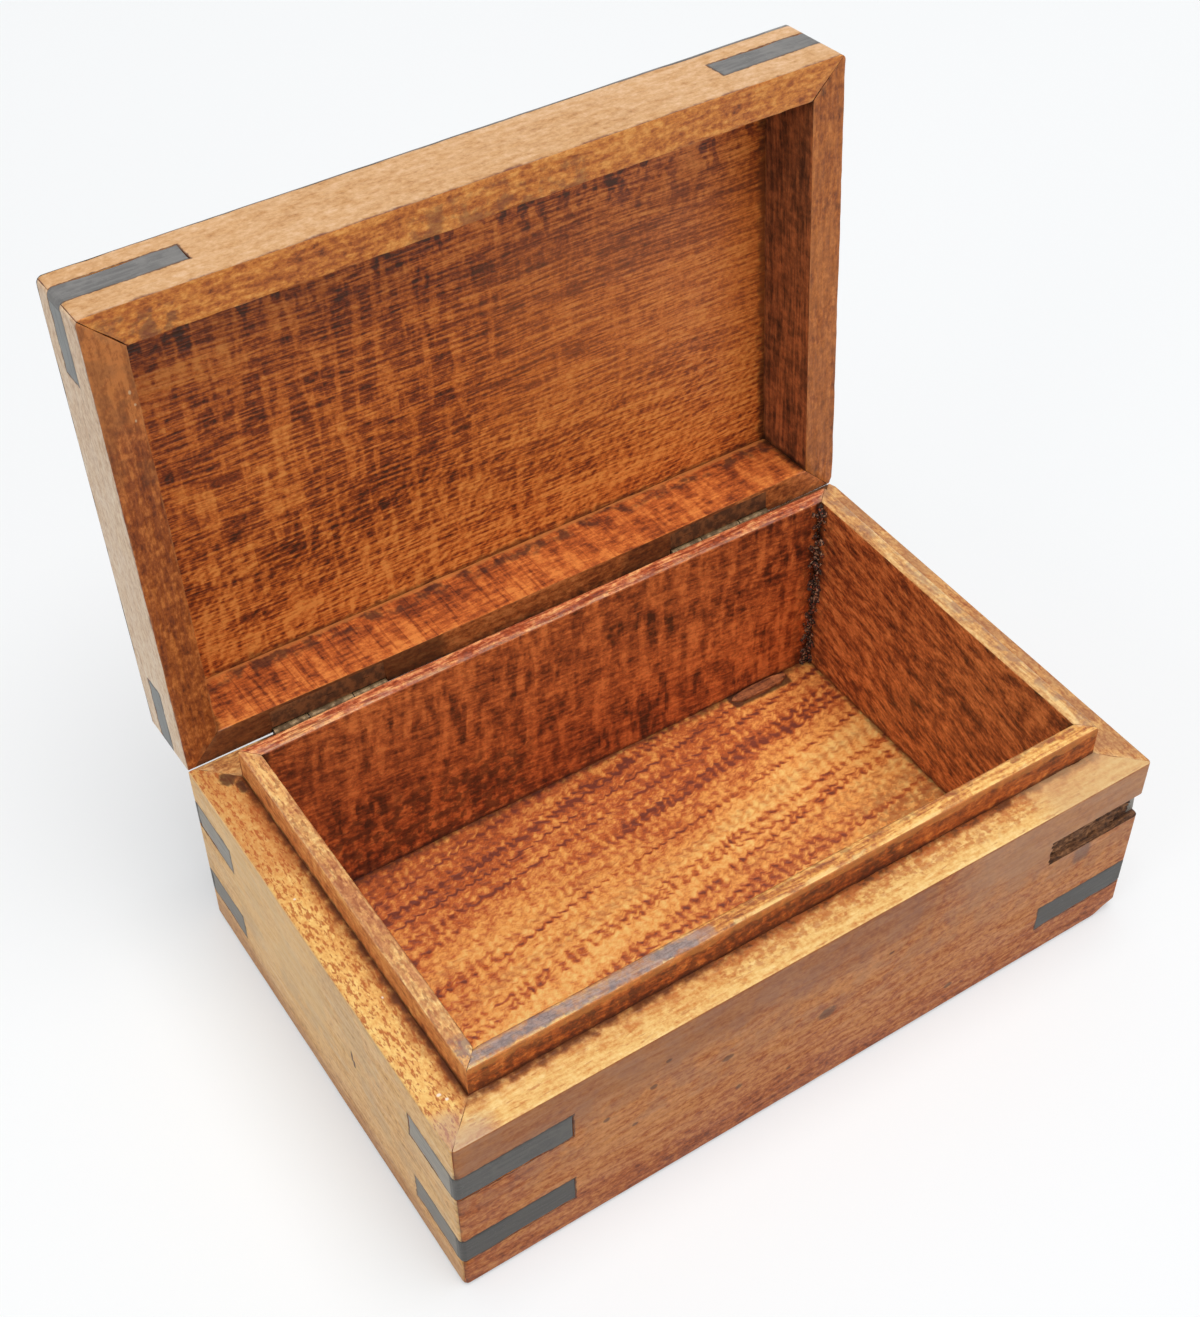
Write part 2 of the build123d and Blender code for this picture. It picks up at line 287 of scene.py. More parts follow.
def wood(name, grain, across, on_lid=False, stains=(), **changes):
    """Figured hardwood. grain and across name the axes along and across the board's fibres."""
    look = SimpleNamespace(**{**WOOD, **changes})
    t = Tree(bpy.data.materials.new(name))
    axes = t.axes(on_lid)
    u = axes[grain] + look.seed
    v = axes[across] + axes[grain] * look.slant
    w = next(axes[axis] for axis in axes if axis not in (grain, across))

    def zone(figure):
        """How far a figure shows at each place, for those that fade out along an axis."""
        if figure not in look.zones:
            return 1.0
        axis, low, high = look.zones[figure]
        return axes[axis].rise(low, high)

    plain = t.vector(u, v, w)
    wander = t.noise(plain, (0.02, 0.04)) - 0.5
    unrest = t.noise(plain, (0.07, 0.16), 2.0) * 3.6
    turns = u * (1 / look.ripple_pitch) + v * look.ripple_lean + unrest
    ripple = (turns * (2 * math.pi)).sine()
    scallop = (turns * math.pi).sine().size()
    bent = t.vector(u, v + wander * look.wander + scallop * look.scallop, w)

    tone = t.noise(bent, (0.012, 0.05), 2.0) - 0.5
    rows = t.noise(bent, (0.03, look.row_rate), 2.0) - 0.5
    cells = t.noise(bent, look.cell_rates, 3.0, 0.6) - 0.5
    pale_bars = t.noise(bent, look.bar_rates, 2.0).rise(*BAR_EDGES)
    lines = t.noise(bent, look.line_rates, 3.0, 0.6).rise(*LINE_EDGES) - 0.5
    mottle = t.noise(plain, look.mottle_rates, 3.0, 0.7) - 0.5

    dark = tone * look.tone + rows * look.rows + cells * look.cells + look.base
    dark = dark + (0.3 - pale_bars) * look.bars * zone("bars")
    dark = dark + ripple * look.ripple_shade * zone("ripple")
    dark = dark + lines * (pale_bars * -0.4 + 1.05) * look.lines + mottle * look.mottle
    if look.scales:
        dark = dark + (t.scales(bent, look.scale_rates) - SCALE_MIDDLE) * look.scales
    if look.ticks:
        strewn = t.noise(plain, (0.03, 0.05), 2.0).rise(*TICK_PLACE_EDGES)
        places = zone("ticks") if "ticks" in look.zones else strewn
        ticks = t.noise(bent, look.tick_rates, 2.0, 0.6).rise(*TICK_EDGES)
        dark = dark + ticks * places * look.ticks
    if look.veins:
        near = (t.noise(bent, look.vein_rates, 2.0) - 0.5).size()
        beads = ripple * 0.3 + cells * 0.9 + lines * 0.3 + 0.7
        dark = dark + (1 - near.rise(0.0, VEIN_WIDTH)) * beads * zone("veins") * look.veins
    for axis, low, high, amount in look.fades:
        dark = dark + axes[axis].rise(low, high) * amount
    colour = t.ramp(dark, zip(PALETTE_STOPS, look.palette))

    if look.streaks:
        tint, share, rates = look.streaks
        streaks = t.noise(bent, rates, 2.0).rise(*STREAK_EDGES)
        streaks = streaks * (ripple * 0.35 + lines * 0.6 + 0.5) * share
        colour = t.mix(streaks, colour, tint)
    if look.flecks:
        tint, share, rates, edges = look.flecks
        flecks = t.noise(plain, rates, 2.0, 0.6).rise(*edges)
        colour = t.mix(flecks * share, colour, tint)
    edge = t.edges() * t.noise(plain, 0.3, 2.0).rise(*EDGE_WEAR_EDGES)
    colour = t.mix(edge * look.worn_share, colour, look.worn)
    for paint_over in stains:
        colour = paint_over(t, colour, axes)

    rough = (t.noise(plain, (0.08, 0.2), 2.0) - 0.5) * 0.2 + lines * 0.15 + look.rough
    relief = lines * -0.6 + mottle + cells * 0.6
    return t.finish(colour, rough, relief, look.relief, look.shine)


# Marks on the wood: real stains, and painted light and shade. Each of these makes a function that
# takes the tree, the colour below and the axes, and gives the colour with the mark on it. Places
# are in millimetres on the closed box.


def ragged_edge(t, axes, rate, size, detail=3.0, roughness=0.6):
    """Noise about 0 that makes a mark's edge wander."""
    return (t.noise(t.vector(**axes), rate, detail, roughness) - 0.5) * size


def most_of(masks):
    """The strongest of several masks at each place."""
    return reduce(Term.most, masks)


def patch(colour, share, edge, broken=0.0, **ranges):
    """Mark on the places within the ranges given for x, y or z, as far as share says.

    edge is how soft the mark's edge is, how far it wanders, and its waves per millimetre. broken
    is the waves per millimetre of the gaps in the mark.
    """
    soft, ragged, rate = edge

    def paint_over(t, below, axes):
        shift = ragged_edge(t, axes, rate, ragged * 4)
        mask = share
        for axis, (low, high) in ranges.items():
            mask = (axes[axis] + shift).within(low, high, soft) * mask
        if broken:
            mask = mask * t.noise(t.vector(**axes), broken, 3.0, 0.6).rise(0.42, 0.58)
        return t.mix(mask, below, colour)

    return paint_over


def spots(colour, across, up, places, share=0.8):
    """Round marks, each given as its centre and its two radii along two axes."""

    def paint_over(t, below, axes):
        unrest = ragged_edge(t, axes, 0.7, 1.6, 2.0, 0.5)
        masks = []
        for at_across, at_up, wide, high in places:
            a = (axes[across] - at_across) * (1 / wide)
            b = (axes[up] - at_up) * (1 / high)
            masks.append(1 - (a * a + b * b + unrest).rise(0.3, 1.3))
        return t.mix(most_of(masks) * share, below, colour)

    return paint_over


def shade_and_grime(at, reach, share=0.8, colour=(40, 22, 16)):
    """Darkening along the lines where the board meets others, as a list of (axis, place) lines:
    painted shade where shade falls in corners and creases, with the dirt gathered there.
    """

    def paint_over(t, below, axes):
        unrest = ragged_edge(t, axes, 0.35, reach * 2.2)
        masks = [1 - ((axes[axis] - line).size() + unrest).rise(0, reach) for axis, line in at]
        return t.mix(most_of(masks) * share, below, colour)

    return paint_over


def glue_lines(across, nodes):
    """Thin dark line of old glue round each strip that is let into the face."""

    def paint_over(t, below, axes):
        unrest = ragged_edge(t, axes, 0.6, 1.2)
        masks = []
        for ends in map(closed_span, nodes):
            beyond = []
            for axis in (across, "z"):
                low, high = ends[axis]
                beyond.append((axes[axis] - (low + high) / 2).size() - (high - low) / 2)
            masks.append(1 - (most_of(beyond) + unrest).rise(0.15, 0.5))
        return t.mix(most_of(masks) * 0.85, below, (64, 34, 18))

    return paint_over


# Other finishes


def strip_finish(name, grain, on_lid, colour, pale):
    """Dark close-grained strip with faint fibres, dust and rubbed places."""
    t = Tree(bpy.data.materials.new(name))
    place = t.vector(**t.axes(on_lid))
    fibres = t.noise(place, (0.12, 1.2) if grain == "x" else (1.2, 0.12, 1.2), 3.0, 0.6)
    rubbed = t.noise(place, 0.25, 3.0, 0.6).rise(0.45, 0.65)
    dust = t.noise(place, 1.6, 2.0, 0.6).rise(0.6, 0.7)
    shade = t.mix(fibres.rise(0.35, 0.65), shaded(colour, 0.82), colour)
    shade = t.mix(rubbed * 0.45, shade, pale)
    shade = t.mix(dust * 0.25, shade, pale)
    shade = t.mix(t.edges() * 0.5, shade, shaded(colour, 0.7))
    rough = rubbed * 0.15 + fibres * 0.15 + 0.36
    return t.finish(shade, rough, fibres + dust * 0.4, 0.05, shine=0.4)


# Square of the distance from the pin where barrel turns to leaf
LEAF_STARTS = (1.3, 2.2)


def hinge_finish(name):
    """Thin tarnished brass: brown leaves pressed into the wood, and barrels rubbed pale."""
    t = Tree(bpy.data.materials.new(name))
    axes = t.axes()
    tarnish = t.noise(t.vector(**axes), 0.5, 3.0, 0.6).rise(0.36, 0.64)
    a = axes["y"] - HINGE.y
    b = axes["z"] - HINGE.z
    leaf = (a * a + b * b).rise(*LEAF_STARTS)
    barrel = t.mix(tarnish, (150, 124, 88), (96, 74, 48))
    plate = t.mix(tarnish, (158, 100, 60), (98, 60, 36))
    brass = t.mix(leaf, barrel, plate)
    return t.finish(brass, tarnish * 0.2 + 0.5, tarnish, 0.03, metal=(1 - leaf) * 0.3 + 0.1)


def steel_finish(name):
    """Dull wire with a little rust."""
    t = Tree(bpy.data.materials.new(name))
    rust = t.noise(t.vector(**t.axes()), 0.8, 3.0, 0.6).rise(0.44, 0.62)
    steel = t.mix(rust, (156, 150, 140), (104, 74, 50))
    return t.finish(steel, rust * 0.3 + 0.36, rust, 0.02, metal=0.9)


CRUMB_COLOURS = (
    (0.38, (184, 140, 108)), (0.43, (70, 44, 32)), (0.6, (42, 29, 23)), (0.66, (156, 74, 44)),
)


def crumb_finish(name):
    """Old glue and dust: mostly black-brown, with a few pale and red crumbs."""
    t = Tree(bpy.data.materials.new(name))
    place = t.vector(**t.axes())
    crumbs = t.ramp(t.noise(place, 1.1), CRUMB_COLOURS)
    return t.finish(crumbs, 0.7, t.noise(place, 3.0, 2.0), 0.1)


# Wooden pieces

# Least length and angle of a joint's edge that is eased
SHORTEST_ARRIS = 6
SHARP_EDGE = 0.6
# How far inside a board's ends the close cuts are
BESIDE_ENDS = (0.45, 1.1)
# Angles at which an edge wears fully, and is shaded as sharp
WORN_THROUGH = math.radians(30)
SHADED_SHARP = math.radians(38)


def is_joint(face):
    """True for a mitre's sawn face."""
    return abs(face.normal.x) > 0.5 and abs(face.normal.y) > 0.5


def cut_places(low, high, step):
    """Even cuts between two ends, with close ones beside each end."""
    count = max(1, round((high - low) / step))
    even = [low + (high - low) * i / count for i in range(1, count)]
    beside = [at for gap in BESIDE_ENDS for at in (low + gap, high - gap)]
    return sorted(set(even + [at for at in beside if low < at < high]))


def ease_joints(mesh, radius):
    """Open the long sharp edges of the mitre joints a little."""
    edges = [
        edge for edge in mesh.edges
        if len(edge.link_faces) == 2
        and edge.calc_length() >= SHORTEST_ARRIS
        and edge.calc_face_angle() >= SHARP_EDGE
        and any(is_joint(face) for face in edge.link_faces)
    ]
    if edges and radius:
        bmesh.ops.bevel(
            mesh, geom=edges, offset=radius, segments=1, profile=0.5, affect="EDGES",
            clamp_overlap=True,
        )


def slice_up(mesh, step, extra):
    """Cut the faces into a grid, so that they can be worn. extra has more cuts for some axes."""
    for axis in range(3):
        places = [vertex.co[axis] for vertex in mesh.verts]
        normal = Vector((0, 0, 0))
        normal[axis] = 1
        for at in cut_places(min(places), max(places), step) + list(extra.get(axis, ())):
            bmesh.ops.bisect_plane(
                mesh, geom=mesh.verts[:] + mesh.edges[:] + mesh.faces[:],
                plane_co=normal * at, plane_no=normal, dist=0.0001,
            )


def weather(mesh, wear, wave, shapes):
    """Push worn edges in, give the faces a slight wave, and move what each of shapes says."""
    layer = mesh.verts.layers.float.new("edge")
    mesh.normal_update()
    moves = []
    for vertex in mesh.verts:
        normals = [face.normal for face in vertex.link_faces]
        spread = max((a.angle(b, 0) for a in normals for b in normals), default=0)
        edge = min(1.0, spread / WORN_THROUGH)
        vertex[layer] = edge
        place = vertex.co
        slow = noise.noise(place * 0.06)
        quick = noise.noise(place * 0.22 + Vector((31, 7, 12)))
        inward = edge * wear * max(0.0, quick + 0.25) + wave * slow
        move = vertex.normal * -inward
        for shape in shapes:
            move = move + shape(vertex)
        moves.append((vertex, move))
    for vertex, move in moves:
        vertex.co += move


def finish_mesh(name, mesh, body, materials, choose=None):
    """Write a mesh made in millimetres as a piece riding on a body."""
    if choose:
        for face in mesh.faces:
            face.material_index = choose(face)
    if body == "lid":
        bmesh.ops.transform(mesh, matrix=OPENING, verts=mesh.verts)
    bmesh.ops.scale(mesh, vec=(MM, MM, MM), verts=mesh.verts)
    data = mesh_data(name, mesh)
    for material in materials:
        data.materials.append(material)
    data.shade_smooth()
    data.set_sharp_from_angle(angle=SHADED_SHARP)
    piece = put(name, data)
    piece.modifiers.new("weighted", "WEIGHTED_NORMAL").keep_sharp = True
    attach(piece, body)
    return piece


def copy_of(node):
    """The node's solid as a mesh in millimetres, flat faces whole, on the lid as if closed."""
    source = frame["nodes"][node]
    mesh = bmesh.new()
    mesh.from_mesh(source.data)
    bmesh.ops.scale(mesh, vec=(1 / MM, 1 / MM, 1 / MM), verts=mesh.verts)
    if source["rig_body"] == "lid":
        bmesh.ops.transform(mesh, matrix=CLOSING, verts=mesh.verts)
    bmesh.ops.remove_doubles(mesh, verts=mesh.verts, dist=0.0005)
    bmesh.ops.dissolve_limit(
        mesh, angle_limit=math.radians(1), verts=mesh.verts[:], edges=mesh.edges[:]
    )
    return mesh


def worn_board(
    node, materials, choose, joint=0.07, step=2.5, wear=0.18, wave=0.04, shapes=(), cuts=None
):
    """A wooden node's worn double, which stands for it."""
    mesh = copy_of(node)
    ease_joints(mesh, joint)
    slice_up(mesh, step, cuts or {})
    weather(mesh, wear, wave, shapes)
    body = frame["nodes"][node]["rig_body"]
    piece = finish_mesh(f"{node}_worn", mesh, body, materials, choose)
    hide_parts(node)
    return piece


# Worn and broken places

STILL = Vector((0, 0, 0))
LOST_LOW, LOST_HIGH = span("strip_front_left_upper_long")
LOST_START = -LOST_HIGH.x
LOST_BED = LOST_HIGH.y
FOOT_REACH = (10, 7)
FOOT_LIFT = 3.4
CORNER_WEAR = 1.8
STOP_GAP = 0.166
GAP_OPENS = -66.0
CHIP = Vector((-34, -49.2, 59.4))
CHIP_REACH = (1.8, 1.0, 1.0)
CHIP_MOVE = Vector((0, 0.5, -0.45))
BOW_ENDS = 84
LEDGE_ENDS = 80
LEDGE_FACE = 50.5


def smooth(share):
    share = min(1.0, max(0.0, share))
    return share * share * (3 - 2 * share)


def in_lost_recess(place, spare=0.02):
    """True inside the empty recess at the front right corner, its edges included."""
    return (
        place.x > LOST_START - spare
        and -HALF_DEPTH - spare < place.y < LOST_BED + spare
        and LOST_LOW.z - spare < place.z < LOST_HIGH.z + spare
    )


def torn_recess(vertex):
    """Splintered bed and ragged edges where the strip came out."""
    place = vertex.co
    if not in_lost_recess(place):
        return STILL
    fibre = noise.noise(Vector((place.x * 0.35, place.y, place.z * 1.5)))
    rough = noise.noise(place * 0.9 + Vector((3, 8, 5)))
    if place.y > LOST_BED - 0.3:
        return Vector((0, -0.15 - 0.75 * fibre - 0.5 * rough, 0))
    if place.y > -HALF_DEPTH + 0.3:
        return Vector((0, 0, 0.2 * rough))
    up = 1 if place.z > (LOST_LOW.z + LOST_HIGH.z) / 2 else -1
    at_end = place.x < LOST_START + 0.5
    along = -1.2 * abs(rough) - 0.9 * fibre if at_end else 0.0
    return Vector((along, 0, up * (0.15 + 0.5 * abs(fibre) + 0.3 * rough)))


def worn_foot(vertex):
    """The front right foot is worn round."""
    place = vertex.co
    near = 1 - math.hypot(
        (HALF_LENGTH - place.x) / FOOT_REACH[0], (HALF_DEPTH + place.y) / FOOT_REACH[1]
    )
    lift = FOOT_LIFT * smooth(near) + 0.3 * near * noise.noise(place * 0.5)
    return Vector((0, 0, max(0.0, lift - place.z))) if near > 0 else STILL


def worn_corner(vertex):
    """The back right corners are worn round where the stop bevels of lid and base run out."""
    up = 1 if vertex.co.z < HINGE.z else -1
    out = Vector((0, math.sin(OPEN_ANGLE / 2), up * math.cos(OPEN_ANGLE / 2)))
    side = vertex.co.x - HALF_LENGTH + CORNER_WEAR
    deep = out.dot(vertex.co - HINGE) + CORNER_WEAR
    far = math.hypot(side, deep)
    if min(side, deep) <= 0 or far <= CORNER_WEAR:
        return STILL
    return Vector((side, out.y * deep, out.z * deep)) * (CORNER_WEAR / far - 1)


def near_stop(vertex):
    """Brings the stop bevels of lid and base together, except where daylight shows at the left."""
    for face in vertex.link_faces:
        if abs(face.normal.x) < 0.1 and 0.6 < face.normal.y < 0.85:
            return face.normal * (STOP_GAP * smooth((vertex.co.x - GAP_OPENS) / 6))
    return STILL


def chipped_edge(vertex):
    """Small chip out of the front liner board's top edge."""
    away = vertex.co - CHIP
    near = 1 - math.hypot(*(part / reach for part, reach in zip(away, CHIP_REACH)))
    return CHIP_MOVE * max(0.0, near)


def bowed_back(vertex):
    """The back liner board bows away from the compartment, mostly at its top."""
    place = vertex.co
    share = smooth(1.8 * (1 - abs(place.x) / BOW_ENDS)) * smooth((place.z - 20) / 40)
    out = 0.5 if place.y > LINER_INSIDE_Y + 2 else 0.35
    return Vector((0, out * share, 0.4 * smooth((place.z - 50) / 9) * share))


def bowed_ledge(vertex):
    """The lid's back rail is rubbed thinner on its inside, in the middle of its length."""
    place = vertex.co
    if place.y > LEDGE_FACE:
        return STILL
    share = smooth(1.6 * (1 - abs(place.x) / LEDGE_ENDS)) * smooth((69 - place.z) / 12)
    return Vector((0, 0.5 * share, 0))


# Boards of the base

RIM_LOOK = dict(
    worn=(244, 208, 150), worn_share=0.5, rows=0.45, cells=0.35, bars=0.05, lines=0.24,
    line_rates=(0.14, 0.9), base=0.36, rough=0.42,
)
RIM_PALETTES = {
    "front": ((250, 218, 148), (236, 190, 114), (208, 138, 68), (146, 80, 40)),
    "back": ((236, 186, 116), (208, 146, 84), (160, 94, 50), (96, 54, 32)),
    "left": ((246, 210, 130), (232, 180, 102), (208, 138, 70), (150, 82, 42)),
    "right": ((240, 198, 128), (218, 162, 98), (180, 112, 60), (116, 62, 32)),
}
RIM_FLECKS = {
    "front": ((176, 92, 42), 0.5, (0.3, 1.2), (0.6, 0.7)),
    "back": ((120, 66, 40), 0.5, (0.35, 1.2), (0.54, 0.64)),
    "left": ((166, 76, 26), 0.78, (0.6, 1.6), (0.5, 0.62)),
    "right": ((150, 82, 44), 0.5, (0.35, 1.2), (0.54, 0.64)),
}
FACE_LOOK = dict(
    worn=(150, 92, 58), worn_share=0.35, base=0.42, rows=0.4, row_rate=0.1, cells=0.7, bars=0.0,
    cell_rates=(0.3, 0.4), lines=0.2, line_rates=(0.05, 0.7), mottle=1.6,
    mottle_rates=(0.6, 0.9), fades=(("z", 18, 2, 0.25),), rough=0.46,
    shine=0.22, relief=0.05,
)
FACE_PALETTES = {
    "front": ((220, 150, 88), (203, 130, 68), (176, 92, 39), (120, 55, 22)),
    "back": ((216, 150, 94), (198, 128, 74), (172, 102, 56), (122, 68, 40)),
    "left": ((250, 209, 144), (244, 195, 126), (226, 169, 102), (172, 112, 62)),
    "right": ((228, 168, 112), (210, 144, 90), (180, 114, 66), (128, 76, 46)),
}
WALL_LOOK = dict(
    palette=((240, 142, 76), (198, 106, 55), (142, 69, 38), (76, 37, 25)),
    worn=(206, 130, 70), row_rate=0.14, cells=1.1, cell_rates=(0.42, 0.26),
    bar_rates=(0.3, 0.05), bars=0.24, ticks=0.28, tick_rates=(0.34, 0.06), lines=0.3,
    line_rates=(0.15, 0.9), scales=0.3, scale_rates=(0.36, 0.14), mottle=1.0, base=0.43,
    rough=0.4,
)
LINER_TOP_LOOK = dict(
    worn=(250, 208, 150), worn_share=0.6, rows=0.3, cells=0.8, bars=0.0, lines=0.6,
    line_rates=(0.09, 0.8), mottle=1.3, base=0.4, rough=0.36, relief=0.16,
)
LINER_TOP_FLECKS = {
    "left": ((144, 74, 44), 0.6, (0.5, 1.2), (0.51, 0.63)),
    "back": ((140, 60, 28), 0.75, (0.13, 1.5), (0.52, 0.6)),
}
LINER_TOP_PALETTES = {
    "front": ((252, 206, 122), (230, 164, 84), (188, 112, 54), (124, 64, 34)),
    "back": ((254, 190, 124), (218, 128, 80), (168, 76, 40), (98, 44, 26)),
    "left": ((252, 212, 142), (236, 181, 112), (206, 140, 90), (150, 86, 56)),
    "right": ((244, 204, 138), (222, 168, 102), (194, 134, 80), (136, 80, 48)),
}
# The liner's outer faces rise above the rim in shade, and the shade is painted into these palettes
# as darker tones than the liner's top.
LINER_OUTSIDE_PALETTES = {
    "front": ((232, 140, 68), (190, 98, 44), (140, 66, 32), (76, 38, 24)),
    "back": ((220, 132, 66), (180, 92, 44), (132, 62, 32), (70, 36, 22)),
    "left": ((248, 184, 108), (222, 142, 78), (180, 104, 56), (110, 60, 36)),
    "right": ((232, 150, 80), (196, 112, 56), (146, 76, 40), (82, 44, 26)),
}
FLOOR_LOOK = dict(
    palette=((255, 212, 128), (244, 170, 88), (196, 100, 47), (120, 56, 38)),
    slant=-0.15, streaks=((150, 68, 42), 0.32, (0.01, 0.22)), veins=0.42,
    vein_rates=(0.005, 0.15), scallop=0.75, ripple_shade=0.05,
    wander=5.0, base=0.36, rows=0.55, row_rate=0.07, cells=0.25, cell_rates=(0.2, 0.34),
    bars=0.0, lines=0.2, line_rates=(0.16, 1.0), scales=0.38,
    scale_rates=(0.37, 0.36), rough=0.4, zones={"veins": ("y", -52, 4)},
    # The fades paint light: the floor is paler towards the right front, where it catches a sheen,
    # and darker towards the left and the back wall, where it lies in more shade.
    fades=(("x", 5, 70, -0.15), ("x", -40, -70, 0.08), ("y", 8, 36, 0.3), ("y", 10, -44, -0.05)),
)

# Axis along each board, axis across it, and which way it faces
BOARDS = {
    "front": ("x", "y", -1), "back": ("x", "y", 1), "left": ("y", "x", -1), "right": ("y", "x", 1),
}
ENDS = {"x": HALF_LENGTH, "y": HALF_DEPTH}
LINER_ENDS = {"x": LINER_INSIDE_X, "y": LINER_INSIDE_Y}


def outward(polygon, across, sign):
    """How squarely a polygon faces out of the box on its board's side."""
    return getattr(polygon.normal, across) * sign


def face_strips(side, levels):
    """Names of the strips that are let into one outside face."""
    kind = "long" if side in ("front", "back") else "short"
    names = [
        f"strip_{corner}_{level}_{kind}"
        for corner in ("front_left", "front_right", "back_left", "back_right")
        for level in levels
        if side in corner
    ]
    return [name for name in names if name in frame["nodes"]]


# The darkened lines along each face's foot, corners and top edge are painted shade mixed with dirt.
FACE_MARKS = {
    "front": [
        patch((152, 98, 62), 0.55, (5, 3, 0.1), x=(-100, 30), z=(38, 70)),
        patch((160, 112, 84), 0.35, (6, 4, 0.1), broken=0.12, z=(24, 60)),
        patch((190, 142, 104), 0.6, (6, 4, 0.1), x=(38, 100), z=(34, 70)),
        shade_and_grime([("z", RIM)], 0.8, 0.6, (146, 80, 42)),
        shade_and_grime([("x", -HALF_LENGTH), ("z", 0)], 1.0, 0.7, (78, 48, 34)),
        patch((108, 84, 76), 0.6, (0.8, 0.6, 0.4), x=(71, 75.5), z=(28.0, 33)),
        spots((84, 52, 38), "x", "z", (
            (-21.5, 16.2, 1.1, 0.8), (-25, 29.6, 1.6, 1.0), (-43.7, 34.6, 1.0, 0.8),
            (-55.1, 32.3, 0.9, 0.7), (-48.2, 24.8, 0.8, 0.6), (1.3, 25.0, 2.6, 1.8),
            (37.5, 7.5, 1.2, 0.9), (-40, 41, 0.9, 0.6), (18, 34, 0.8, 0.5), (-8, 12, 0.7, 0.5),
        ), 0.7),
    ],
    "left": [
        # Painted sheen: a greyish veil over the upper part of the left face.
        patch((206, 178, 138), 0.35, (8, 3, 0.08), broken=0.08, z=(26, 70)),
        patch((186, 124, 68), 0.55, (4, 3, 0.08), z=(-10, 7)),
        patch((250, 206, 140), 0.45, (6, 3, 0.08), y=(-2, 42), z=(8, 60)),
        patch((188, 160, 130), 0.3, (3, 3, 0.1), broken=0.1, z=(17, 25)),
        shade_and_grime([("y", -HALF_DEPTH), ("z", 0)], 0.9, 0.7, (88, 58, 40)),
        spots((86, 46, 30), "y", "z", ((-15.0, 29.6, 0.5, 2.0), (-15.7, 27.4, 0.5, 1.4)), 0.95),
    ],
    "back": [
        patch((154, 112, 88), 0.4, (8, 3, 0.05), z=(34, 70)),
        patch((166, 122, 96), 0.35, (6, 4, 0.1), broken=0.12, z=(6, 60)),
        spots((84, 52, 38), "x", "z", (
            (-31, 21, 1.3, 0.9), (12, 33, 1.0, 0.7), (44, 14, 1.6, 1.1), (58, 29, 0.8, 0.6),
        ), 0.65),
        shade_and_grime([("x", HALF_LENGTH), ("x", -HALF_LENGTH), ("z", 0)], 1.0, 0.7, (78, 48, 34)),
    ],
    "right": [
        patch((166, 128, 100), 0.4, (8, 3, 0.05), z=(34, 70)),
        patch((150, 96, 60), 0.4, (5, 4, 0.08), broken=0.08, z=(-8, 30)),
        spots((88, 52, 36), "y", "z", (
            (-12, 24, 1.4, 0.9), (21, 17, 1.0, 0.7), (33, 40, 0.8, 0.6),
        ), 0.65),
        shade_and_grime([("y", HALF_DEPTH), ("y", -HALF_DEPTH), ("z", 0)], 1.0, 0.7, (82, 52, 36)),
    ],
}
# The darkened bands on the rims along the liner's foot are painted shade, with dirt.
RIM_MARKS = {
    "front": [
        patch((176, 148, 136), 0.55, (2.5, 1.2, 0.15), x=(-100, -80), y=(-70, -54)),
        # Painted shade: a broad orange-brown and a narrow dark band where the rim meets the liner.
        shade_and_grime([("y", -HALF_DEPTH + WALL)], 5.0, 0.85, (190, 108, 48)),
        shade_and_grime([("y", -HALF_DEPTH + WALL)], 2.6, 0.9, (92, 46, 22)),
        patch((178, 94, 40), 0.62, (1, 1.6, 0.35), broken=0.6, x=(-24, 60), y=(-55, -49)),
        # Painted sheen: a pale patch on the rim's front right corner.
        patch((204, 166, 122), 0.55, (5, 2, 0.1), x=(60, 100), y=(-70, -40)),
    ],
    "left": [
        patch((176, 92, 48), 0.4, (8, 2, 0.2), y=(18, 60)),
        patch((176, 148, 136), 0.5, (2.5, 1.2, 0.15), x=(-100, -85), y=(-70, -50)),
        # Painted shade: a broad orange-brown and a narrow dark band where the rim meets the liner.
        shade_and_grime([("x", -HALF_LENGTH + WALL)], 4.2, 0.85, (176, 96, 42)),
        shade_and_grime([("x", -HALF_LENGTH + WALL)], 1.9, 0.9, (92, 46, 24)),
        spots((66, 40, 30), "x", "y", ((-83.8, 50.2, 2.0, 2.4), (-82.2, 46.8, 1.1, 2.8))),
        spots((246, 232, 214), "x", "y", (
            (-85.5, -46.0, 0.5, 0.4), (-84.6, -47.6, 0.35, 0.35), (-86.8, 12.0, 0.3, 0.3),
            (-83.5, -20.0, 0.3, 0.4),
        ), 0.9),
    ],
    "back": [
        # Painted shadow: the back of the rim lies dark under the open lid's back rail, except at
        # the left end where daylight comes through the gap.
        patch((70, 42, 28), 0.9, (2, 1.5, 0.4), x=(-72, 100)),
        shade_and_grime([("y", HALF_DEPTH - WALL)], 1.6, 0.85),
    ],
    "right": [
        patch((168, 120, 84), 0.45, (2, 2, 0.12), broken=0.12, x=(82, 100), y=(-60, 60)),
        shade_and_grime([("x", HALF_LENGTH - WALL)], 1.0, 0.8, (90, 46, 26)),
    ],
}
